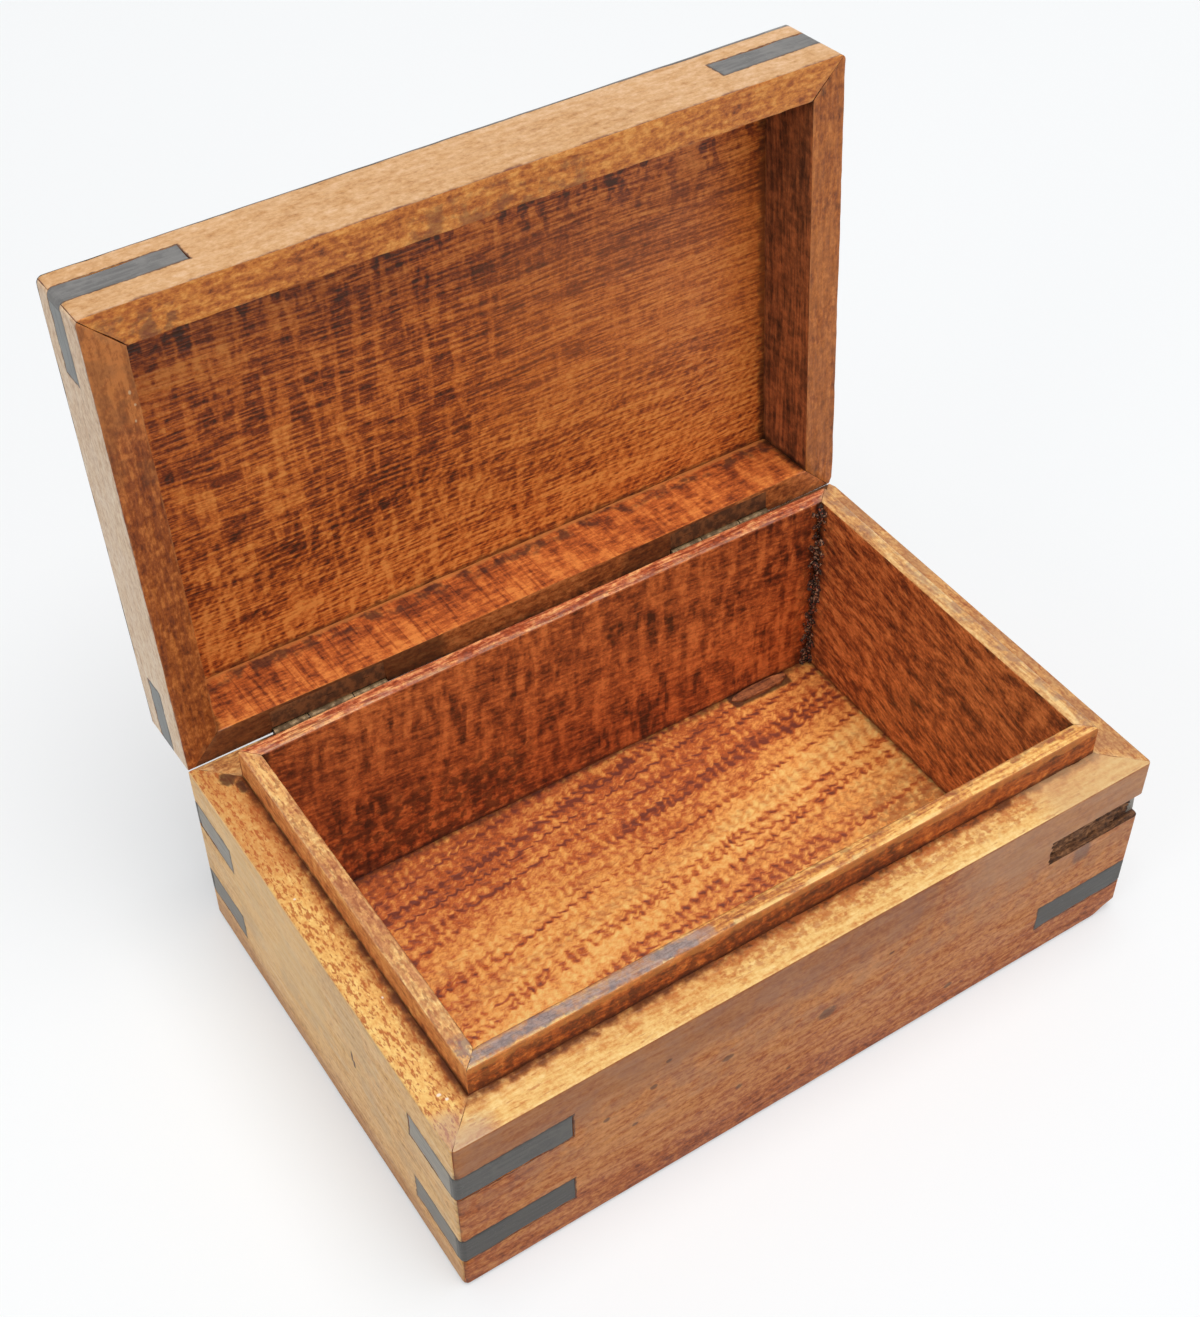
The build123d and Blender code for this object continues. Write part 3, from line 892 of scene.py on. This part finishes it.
LINER_TOP_MARKS = {
    "front": [
        patch((168, 134, 118), 0.75, (0.8, 1, 0.3), x=(-90, -22), y=(-48.6, -45.8)),
        patch((120, 112, 114), 0.8, (0.6, 1, 0.4), broken=0.24, x=(-90, -26), y=(-48.6, -46.0)),
        patch((184, 158, 150), 0.4, (0.5, 0.5, 0.5), broken=0.9, x=(-90, -24), y=(-48.8, -46)),
        patch((132, 66, 36), 0.6, (0.4, 0.8, 0.3), broken=0.3, x=(-18, 76), y=(-46.6, -45.2)),
        # Painted highlight: a pale band along the rounded outer edge of the top.
        patch((250, 214, 140), 0.7, (0.3, 0.5, 0.3), broken=0.2, x=(-18, 60), y=(-49.6, -48.2)),
        patch((252, 214, 150), 0.9, (0.25, 0.2, 0.4), x=(-35.4, -32.8), y=(-49.6, -48.7)),
    ],
    "back": [patch((150, 108, 98), 0.45, (1, 1.5, 0.3), broken=0.3, y=(44, 47.5))],
    "left": [
        patch((134, 112, 108), 0.7, (0.7, 1, 0.4), broken=0.4, x=(-81, -76), y=(-60, -41)),
        patch((176, 108, 66), 0.45, (0.7, 1, 0.5), broken=0.5, x=(-81, -76), y=(-44, 30)),
    ],
    "right": [patch((146, 112, 96), 0.5, (0.8, 1, 0.3), broken=0.25, x=(78, 82), y=(-50, 50))],
}
LINER_SLANTS = {"right": -0.22, "back": 0.08}
RIGHT_LINER_LOOK = dict(
    palette=((244, 160, 92), (206, 122, 66), (144, 76, 43), (70, 38, 26)), ticks=0.0, bars=0.0,
    cells=1.4, cell_rates=(0.22, 0.38), line_rates=(0.18, 0.9), mottle=1.2, scales=0.4,
    scale_rates=(0.16, 0.38), wander=9.0,
)
CORNER_DIRT = dict(colour=(60, 32, 24), share=0.55, edge=(2.5, 2.5, 0.3), broken=0.5)
BACK_LINER_STAIN = patch(
    (70, 38, 28), 0.7, (4.0, 4.0, 0.25), broken=0.35, x=(-80, -10), z=(0, 26),
)
LINER_FOOT_MARKS = {"front": (
    patch((82, 42, 26), 0.62, (0.8, 1.2, 0.26), broken=0.6, x=(-90, 30), z=(50, 60)),
    # Painted highlight: a pale line along the rounded top edge of the liner's front outer face.
    patch((226, 146, 74), 0.5, (0.4, 0.9, 0.3), z=(57.2, 60)),
)}
# Marks on the compartment's floor: painted shade with dirt in its corners along the walls, a
# painted shadow round the flake, and a broken reddish patch.
FLOOR_DIRT_AND_SHADE = [
    shade_and_grime([("x", -LINER_INSIDE_X), ("y", LINER_INSIDE_Y)], 2.2, 0.7, (58, 32, 22)),
    shade_and_grime([("x", LINER_INSIDE_X), ("y", -LINER_INSIDE_Y)], 1.4, 0.6, (84, 46, 28)),
    # Painted shadow: a dark ring on the floor round the splinter that lies on it.
    patch((58, 34, 26), 0.85, (0.4, 0.35, 0.4), x=(50.4, 68.6), y=(40.8, 47)),
    patch((168, 90, 48), 0.6, (4, 3, 0.15), broken=0.4, x=(54, 90), y=(-20, -2)),
]
TORN_LOOK = dict(
    palette=((168, 118, 78), (124, 82, 52), (88, 56, 36), (46, 30, 22)), base=0.5,
    cell_rates=(0.25, 0.6), lines=0.7, mottle=1.2, bars=0.0, rough=0.7, relief=0.3,
    worn=(60, 38, 26), worn_share=0.6,
)
# Cuts that give the lost recess and the chip enough points, by axis number
RECESS_CUTS = {
    0: [LOST_START + 0.55 * i for i in range(-2, 48)],
    2: [LOST_LOW.z + 0.55 * i for i in range(-1, 16)],
}
CHIP_CUTS = {0: [CHIP.x + 0.5 * i for i in range(-4, 5)]}


def make_base():
    torn = wood("torn_recess", "x", "z", **TORN_LOOK)
    for side, (along, across, sign) in BOARDS.items():
        rim = wood(
            f"rim_{side}", along, across, seed=13.0 * len(side), palette=RIM_PALETTES[side],
            stains=RIM_MARKS[side], mottle=0.9 if side == "front" else 1.3,
            flecks=RIM_FLECKS[side], **RIM_LOOK,
        )
        glue = glue_lines(along, face_strips(side, ("lower", "upper")))
        face = wood(
            f"face_{side}", along, "z", seed=20.0 * len(side), palette=FACE_PALETTES[side],
            stains=FACE_MARKS[side] + [glue], slant=0.03, **FACE_LOOK,
        )
        inside = wood(f"inner_{side}", along, "z", seed=30, **WALL_LOOK)

        def choose(polygon):
            middle = polygon.calc_center_median()
            if in_lost_recess(middle, 0.6) and middle.y > -HALF_DEPTH + 0.15:
                return 3
            if polygon.normal.z > 0.6 and middle.z > RIM - 1:
                return 0
            return 1 if outward(polygon, across, sign) > 0.5 or polygon.normal.z < -0.5 else 2

        worn_board(
            f"base_{side}_board", [rim, face, inside, torn], choose,
            shapes=(torn_recess, worn_foot, near_stop, worn_corner),
            cuts=RECESS_CUTS if side in ("front", "right") else None,
        )
        make_liner(side, along, across, sign)
    floor = wood("floor", "x", "y", stains=FLOOR_DIRT_AND_SHADE, **FLOOR_LOOK)
    worn_board("base_floor", [floor], None, step=6)


def make_liner(side, along, across, sign):
    end = LINER_ENDS[along]
    # The two darkened lines are painted shade with dirt, in the wall's corners and along its foot
    # on the floor.
    dirt_and_shade = [
        shade_and_grime([(along, -end), (along, end)], 2.0, 0.75),
        shade_and_grime([("z", FLOOR_TOP)], 1.6, 0.7, (70, 38, 26)),
    ]
    if side in ("back", "right"):
        dirt_and_shade.append(patch(**CORNER_DIRT, **{along: (end - 5, end + 3)}))
    if side == "back":
        dirt_and_shade.append(BACK_LINER_STAIN)
    top = wood(
        f"liner_top_{side}", along, across, seed=60, palette=LINER_TOP_PALETTES[side],
        stains=LINER_TOP_MARKS[side], flecks=LINER_TOP_FLECKS.get(side), **LINER_TOP_LOOK,
    )
    look = {**WALL_LOOK, "slant": LINER_SLANTS.get(side, 0.0)}
    if side == "right":
        look.update(RIGHT_LINER_LOOK)
    wall = wood(f"liner_wall_{side}", along, "z", seed=11.0 * len(side), stains=dirt_and_shade, **look)
    look = {**WALL_LOOK, "palette": LINER_OUTSIDE_PALETTES[side], "ticks": 0.0, "bars": 0.0}
    # Painted shade, with dirt, along the foot of the liner's outer face where it meets the rim.
    foot = [shade_and_grime([("z", RIM)], 1.8, 0.8, (60, 30, 20)), *LINER_FOOT_MARKS.get(side, ())]
    outside = wood(f"liner_outside_{side}", along, "z", seed=90, stains=foot, **look)

    def choose(polygon):
        if polygon.normal.z > 0.6:
            return 0
        return 2 if outward(polygon, across, sign) > 0.5 else 1

    worn_board(
        f"liner_{side}", [top, wall, outside], choose, wear=0.38, wave=0.1,
        shapes=(bowed_back,) if side == "back" else (chipped_edge,),
        cuts=CHIP_CUTS if side == "front" else None,
    )


# Boards of the lid

LID_RIM_LOOK = dict(
    worn=(214, 150, 92), base=0.42, rows=0.5, cells=0.5, bars=0.05, lines=0.3,
    line_rates=(0.1, 0.8), mottle=1.6, mottle_rates=(0.6, 0.9), rough=0.42,
)
LID_RIM_PALETTES = {
    "front": ((246, 174, 90), (218, 136, 60), (180, 98, 42), (112, 58, 30)),
    "back": ((236, 146, 80), (200, 112, 56), (148, 76, 38), (84, 44, 26)),
    "left": ((206, 124, 60), (160, 84, 36), (122, 58, 24), (72, 36, 18)),
    "right": ((222, 140, 70), (192, 112, 48), (156, 84, 34), (104, 54, 24)),
}
LID_FACE_LOOK = dict(
    worn=(190, 118, 74), base=0.38, rows=0.4, row_rate=0.2, cells=0.7, bars=0.0, lines=0.15,
    cell_rates=(0.3, 0.4), line_rates=(0.16, 0.7), mottle=1.3,
    mottle_rates=(0.7, 1.0), rough=0.42, shine=0.3, relief=0.05,
)
# The front palette is paler than the wood, painted light for the front rail's outer face, which
# faces up into the overhead light when the lid is open; the left palette's pale greyish tones are
# partly painted sheen.
LID_FACE_PALETTES = {
    "front": ((230, 188, 146), (215, 167, 116), (196, 143, 88), (150, 100, 58)),
    "back": ((214, 150, 98), (192, 126, 76), (162, 98, 56), (110, 64, 40)),
    "left": ((248, 226, 196), (234, 202, 166), (208, 168, 128), (150, 108, 74)),
    "right": ((228, 176, 126), (210, 154, 104), (182, 124, 78), (128, 80, 50)),
}
LID_INNER_PALETTES = {
    "front": ((190, 112, 60), (150, 80, 42), (108, 54, 30), (56, 30, 20)),
    "back": ((238, 148, 74), (202, 106, 50), (146, 70, 36), (80, 40, 27)),
    "left": ((214, 128, 64), (172, 88, 44), (124, 60, 32), (64, 34, 22)),
    "right": ((190, 118, 72), (148, 90, 56), (100, 61, 40), (50, 32, 26)),
}
PANEL_LOOK = dict(
    palette=((252, 164, 80), (218, 120, 50), (148, 68, 30), (70, 36, 20)),
    tone=0.7, cells=0.5, cell_rates=(0.36, 0.36), bar_rates=(0.38, 0.06),
    bars=0.25, ticks=0.42, tick_rates=(0.28, 0.15), lines=0.5,
    line_rates=(0.09, 1.3), mottle=1.0, rough=0.42,
    scales=0.2, scale_rates=(0.36, 0.26), base=0.43, ripple_shade=0.1, ripple_pitch=3.2,
    ripple_lean=0.34,
    zones={"bars": ("x", 90, -50), "ticks": ("y", -18, -42), "ripple": ("y", 2, 22)},
    fades=(("y", 20, -48, 0.12), ("x", -30, 60, -0.11)),
)
PANEL_TOP_LOOK = dict(
    palette=((226, 158, 98), (204, 130, 74), (172, 98, 54), (114, 64, 38)),
    seed=220.0, zones={}, ripple_shade=0.05, tone=0.5, rows=0.35, cells=0.36, bars=0.14,
    ticks=0.0, lines=0.26, scales=0.16, mottle=0.8, fades=(), worn=(206, 136, 84),
)
# Half sizes of the panel as seen from inside the lid and on its top
PANEL_INSIDE_X = 81.2
PANEL_INSIDE_Y = 49.9
PANEL_TOP_X = 82.5
PANEL_TOP_Y = 51
PANEL_TOP_MARKS = [
    patch((150, 92, 58), 0.4, (6, 5, 0.05), broken=0.06, x=(-80, 80), y=(-50, 50)),
    # Painted shade, with dirt, along the panel's top where it meets the rails.
    shade_and_grime([
        ("x", -PANEL_TOP_X), ("x", PANEL_TOP_X), ("y", -PANEL_TOP_Y), ("y", PANEL_TOP_Y),
    ], 2.0, 0.6, (70, 42, 28)),
    spots((92, 52, 32), "x", "y", (
        (22, -18, 1.2, 0.8), (-38, 26, 1.6, 1.0), (51, 31, 0.9, 0.6), (-60, -30, 0.8, 0.6),
    ), 0.6),
]

LID_RIM_MARKS = {
    "front": [
        patch((104, 64, 48), 0.6, (1.2, 1.6, 0.4), broken=0.3, x=(-86, -70), y=(-56, -48)),
        patch((116, 70, 48), 0.5, (1.2, 2, 0.4), broken=0.25, x=(-20, 22), y=(-56, -48)),
    ],
    "left": [
        patch((190, 124, 60), 0.25, (9, 3, 0.12), y=(-70, -34)),
        patch((120, 76, 42), 0.35, (2, 2, 0.15), broken=0.2, y=(-60, -20)),
        spots((214, 184, 146), "x", "y", (
            (-82.9, -40, 0.3, 0.5), (-82.4, -37, 0.25, 0.3), (-83.0, -33.5, 0.25, 0.4),
        )),
    ],
    "back": [
        # Painted shadow, with dirt: the back rail's rim darkens towards the hinge and has two dark
        # patches, where it lies in shadow when the lid is open.
        shade_and_grime([("y", HALF_DEPTH)], 4.0, 0.8, (70, 42, 28)),
        patch((78, 48, 32), 0.7, (2, 2, 0.2), x=(-90, -24), y=(44, 60)),
        patch((84, 50, 34), 0.5, (2, 2, 0.2), x=(26, 60), y=(44, 60)),
    ],
    "right": [patch((200, 124, 60), 0.3, (2, 1.5, 0.4), broken=0.1, y=(-60, 60))],
}
LID_RIM_FADES = {"left": (("y", -22, -48, -0.24),)}
LID_WALL = 8.6
LID_INNER_MARKS = {
    "back": [
        # A dark band beside the worn pale lip at the panel's edge: smudges, and painted shade below
        # the lip.
        patch((70, 44, 38), 0.8, (0.9, 1.1, 0.25), broken=0.2, z=(64.4, 68.3)),
        patch((216, 138, 74), 0.75, (0.4, 0.7, 0.25), z=(68.3, 70)),
    ],
}
LID_INNER_CHANGES = {
    "back": dict(
        ticks=0.24, tick_rates=(0.8, 0.04), zones={"ticks": ("x", 80, -10)}, cells=0.7, lines=0.36,
        base=0.4,
    ),
    "right": dict(ticks=0.0, bars=0.05, cells=0.7, lines=0.5, line_rates=(0.08, 0.9)),
}
PANEL_MARKS = [
    # Painted shade, with dirt, in the panel's corners.
    shade_and_grime([("x", PANEL_INSIDE_X), ("y", -PANEL_INSIDE_Y)], 2.6),
    shade_and_grime([("x", -PANEL_INSIDE_X), ("y", PANEL_INSIDE_Y)], 1.8, 0.7),
    patch((34, 30, 20), 0.9, (0.8, 1.4, 0.4), x=(-90, -78), y=(44, 60)),
    patch((206, 122, 62), 0.24, (14, 5, 0.06), x=(4, 100), y=(-30, 22)),
    patch((84, 50, 28), 0.26, (9, 5, 0.06), x=(-100, -12), y=(-60, -34)),
]


def make_lid():
    for side, (along, across, sign) in BOARDS.items():
        rim = wood(
            f"lid_rim_{side}", along, across, True, seed=15.0 * len(side),
            palette=LID_RIM_PALETTES[side], stains=LID_RIM_MARKS[side],
            fades=LID_RIM_FADES.get(side, ()), **LID_RIM_LOOK,
        )
        arris = shade_and_grime([("z", RIM)], 1.4, 0.9, (104, 40, 22))
        glue = glue_lines(along, face_strips(side, ("lid",)))
        face = wood(
            f"lid_face_{side}", along, "z", True, seed=25.0 * len(side),
            palette=LID_FACE_PALETTES[side], stains=[arris, glue], **LID_FACE_LOOK,
        )
        end = ENDS[along] - LID_WALL
        # Painted shade, with dirt, in the inside corners of the rail.
        marks = [shade_and_grime([(along, end), (along, -end)], 2.4), *LID_INNER_MARKS.get(side, ())]
        look = {**WALL_LOOK, "palette": LID_INNER_PALETTES[side], **LID_INNER_CHANGES.get(side, {})}
        inside = wood(f"lid_inner_{side}", along, "z", True, seed=70, stains=marks, **look)

        def choose(polygon):
            if polygon.normal.z < -0.6:
                return 0
            return 1 if outward(polygon, across, sign) > 0.5 or polygon.normal.z > 0.5 else 2

        worn_board(
            f"lid_{side}_rail", [rim, face, inside], choose,
            shapes=(near_stop, worn_corner, *((bowed_ledge,) if side == "back" else ())),
        )
    panel = wood("lid_panel", "x", "y", True, stains=PANEL_MARKS, **PANEL_LOOK)
    look = {**PANEL_LOOK, **PANEL_TOP_LOOK}
    panel_top = wood("lid_panel_top", "x", "y", True, stains=PANEL_TOP_MARKS, **look)
    worn_board(
        "lid_panel", [panel, panel_top], lambda polygon: int(polygon.normal.z > 0.5),
        step=6,
    )


# Strips, hinges and small things

# Colour of the strips and of their rubbed places, and how much paler or darker each row is
# The tones change with the way the strips face, as painted light: the strips along y are paler for
# a painted sheen, and those on the lid paler for the light that falls on them when it is open.
STRIP_TONES = {
    "base_x": ((82, 80, 76), (108, 105, 100)),
    "base_y": ((142, 136, 126), (168, 160, 148)),
    "lid_x": ((116, 114, 112), (140, 138, 135)),
    "lid_y": ((132, 134, 132), (160, 161, 158)),
}
ROW_TONES = {"upper": 1.1, "lower": 0.91, "lid": 1.0}


def make_strips():
    finishes = {}
    for name in sorted(frame["nodes"]):
        if not name.startswith(("strip_", "lid_border")):
            continue
        body = frame["nodes"][name]["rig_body"]
        grain = "x" if name.endswith(("_long", "_front", "_back")) else "y"
        row = next(level for level in ROW_TONES if level in name)
        key = f"{body}_{grain}_{row}"
        if key not in finishes:
            tones = [shaded(tone, ROW_TONES[row]) for tone in STRIP_TONES[f"{body}_{grain}"]]
            finishes[key] = strip_finish(f"dark_strip_{key}", grain, body == "lid", *tones)
        worn_board(name, [finishes[key]], None, joint=0.0, wear=0.34, wave=0.05)


def make_hinges():
    brass = hinge_finish("tarnished_brass")
    steel = steel_finish("dull_wire")
    for name, node in frame["nodes"].items():
        if name.startswith("hinge_"):
            node.data.materials.clear()
            node.data.materials.append(steel if name.endswith("_pin") else brass)


CRUMBS = 170
CRUMB_RADII = (0.35, 0.95)
CRUMB_INSET = 0.3
CRUMB_SPREAD = 2.2
CRUMB_STRETCH = Vector((1, 1, 1.2))


def make_crumbs():
    """Lumps of old glue and dust down the liner's back right corner."""
    chance = random.Random(7)
    mesh = bmesh.new()
    for index in range(CRUMBS):
        radius = chance.uniform(*CRUMB_RADII) * (0.6 if index % 3 else 1.0)
        rise = (LINER_TOP - FLOOR_TOP) * 0.97 * chance.random()
        side = chance.choice((0, 1))
        spread = chance.random() ** 2 * CRUMB_SPREAD
        place = Vector((
            LINER_INSIDE_X - CRUMB_INSET - spread * side,
            LINER_INSIDE_Y - CRUMB_INSET - spread * (1 - side),
            FLOOR_TOP + CRUMB_INSET + rise,
        ))
        lump = bmesh.ops.create_icosphere(mesh, subdivisions=2, radius=radius)["verts"]
        for vertex in lump:
            bumpy = 0.9 + 1.1 * noise.noise(vertex.co * 1.5 / radius + Vector((index * 3.7, 0, 0)))
            vertex.co = place + vertex.co * bumpy * CRUMB_STRETCH
            vertex.co.x = min(vertex.co.x, LINER_INSIDE_X + 0.1)
            vertex.co.y = min(vertex.co.y, LINER_INSIDE_Y + 0.1)
    piece = finish_mesh("corner_crumbs", mesh, "base", [crumb_finish("old_glue")])


FLAKE_MIDDLE = (59.5, 43.35)
FLAKE_HALF = (8.5, 1.75)
FLAKE_POINTS = 40
# Height of each ring of points above the floor, how far in it lies and how much it rises with x
FLAKE_RINGS = ((0.05, 0.0, 0.0), (0.55, 0.0, 0.25), (0.72, 0.07, 0.25))


def flake_point(index, height, inset, rise):
    """Place of one of the flake's points on one of its rings."""
    turn = 2 * math.pi * index / FLAKE_POINTS
    x, y = math.cos(turn), math.sin(turn)
    ragged = 1 + 0.16 * noise.noise(Vector((x * 2, y * 2, 4)))
    x = math.copysign(abs(x) ** 0.75, x) * ragged
    y = math.copysign(abs(y) ** 0.85, y) * ragged
    return (
        FLAKE_MIDDLE[0] + FLAKE_HALF[0] * x * (1 - inset * 0.4),
        FLAKE_MIDDLE[1] + FLAKE_HALF[1] * y * (1 - inset),
        FLOOR_TOP + height + rise * (1 + x) / 2,
    )


def make_flake():
    """Thin splinter of wood lying on the floor against the back."""
    mesh = bmesh.new()
    loops = [
        [mesh.verts.new(flake_point(index, *ring)) for index in range(FLAKE_POINTS)]
        for ring in FLAKE_RINGS
    ]
    for low, high in zip(loops, loops[1:]):
        for index in range(FLAKE_POINTS):
            mesh.faces.new((low[index - 1], low[index], high[index], high[index - 1]))
    mesh.faces.new(loops[-1])
    mesh.faces.new(loops[0][::-1])
    bmesh.ops.triangulate(mesh, faces=[face for face in mesh.faces if len(face.verts) > 4])
    finish = wood(
        "flake", "x", "y", palette=((204, 134, 84), (168, 102, 62), (124, 72, 46), (66, 36, 26)),
        cells=0.8, mottle=1.0, rough=0.5, worn_share=0.0,
    )
    piece = finish_mesh("floor_flake", mesh, "base", [finish])


# Stage, light and camera


def seen_white(t, plain, seen):
    """One colour for the light on the box, and another as the camera and gloss see it."""
    camera, glossy = (t.node("LightPath", output=f"Is {kind} Ray") for kind in ("Camera", "Glossy"))
    return t.mix(camera.most(glossy), plain, seen)


BLACK = (0, 0, 0, 1)
WHITE = (1, 1, 1, 1)
WORLD_GREY = (0.3, 0.3, 0.3, 1)
TABLE_GREY = (0.55, 0.555, 0.56, 1)
TABLE_GLOW = (0.38, 0.39, 0.395, 1)
TABLE_HALF_WIDTH_M = 4.0
TABLE_DROP_M = 0.0002
# Distance from the box where the table's glow starts to whiten, and where it is white
GLOW_NEAR = 600.0
GLOW_FAR = 1900.0


def make_stage():
    """Pale table that keeps the box's shadow and turns white far from it, under a white studio."""
    mesh = bmesh.new()
    bmesh.ops.create_grid(mesh, x_segments=2, y_segments=2, size=TABLE_HALF_WIDTH_M)
    table = put("table", mesh_data("table", mesh))
    table.location.z = -TABLE_DROP_M
    t = Tree(bpy.data.materials.new("white_table"))
    t.set("Base Color", TABLE_GREY)
    x, y, _ = t.axes().values()
    far = (x * x + y * y).rise(GLOW_NEAR ** 2, GLOW_FAR ** 2)
    near_glow, far_glow = (seen_white(t, BLACK, glow) for glow in (TABLE_GLOW, WHITE))
    t.set("Emission Color", t.mix(far, near_glow, far_glow))
    t.set("Emission Strength", 1.0)
    t.set("Roughness", 0.6)
    t.set("Specular IOR Level", 0.2)
    table.data.materials.append(t.owner)

    world = bpy.data.worlds.new("studio")
    bpy.context.scene.world = world
    t = Tree(world, "Background")
    t.set("Color", seen_white(t, WORLD_GREY, WHITE))


# Name, place in metres, size in metres and power in watts of each lamp
LAMPS = (
    ("overhead", (0.2, -0.5, 3.0), 2.6, 72),
    ("front_fill", (0.5, -2.6, 1.2), 1.6, 7),
    ("left_fill", (-2.6, -0.4, 1.2), 1.6, 13),
)
LAMP_TARGET_M = Vector((0, 0, 0.05))


def area_lamp(name, place, size, power):
    lamp = bpy.data.lights.new(name, "AREA")
    lamp.shape = "DISK"
    lamp.size = size
    lamp.energy = power
    holder = put(name, lamp)
    holder.location = place
    aim = LAMP_TARGET_M - Vector(place)
    holder.rotation_euler = aim.to_track_quat("-Z", "Y").to_euler()


CAMERA_PLACE = (-175.755, -244.335, 383.816)
CAMERA_AIM = (0.384241, 0.595347, -0.705635)
CAMERA_ROLL = math.radians(-0.4815)
CAMERA_LENS = 60.49


def make_camera():
    camera = put("camera", bpy.data.cameras.new("camera"))
    camera.data.lens = CAMERA_LENS
    camera.data.sensor_width = 36
    camera.data.sensor_fit = "HORIZONTAL"
    camera.data.clip_start = 0.01
    aim = Vector(CAMERA_AIM).to_track_quat("-Z", "Y").to_matrix().to_4x4()
    turn = aim @ Matrix.Rotation(CAMERA_ROLL, 4, "Z")
    camera.matrix_world = Matrix.Translation(Vector(CAMERA_PLACE) * MM) @ turn
    bpy.context.scene.camera = camera


make_base()
make_lid()
make_strips()
make_hinges()
make_crumbs()
make_flake()
make_stage()
for lamp in LAMPS:
    area_lamp(*lamp)
make_camera()

bpy.context.scene.view_settings.view_transform = "Standard"
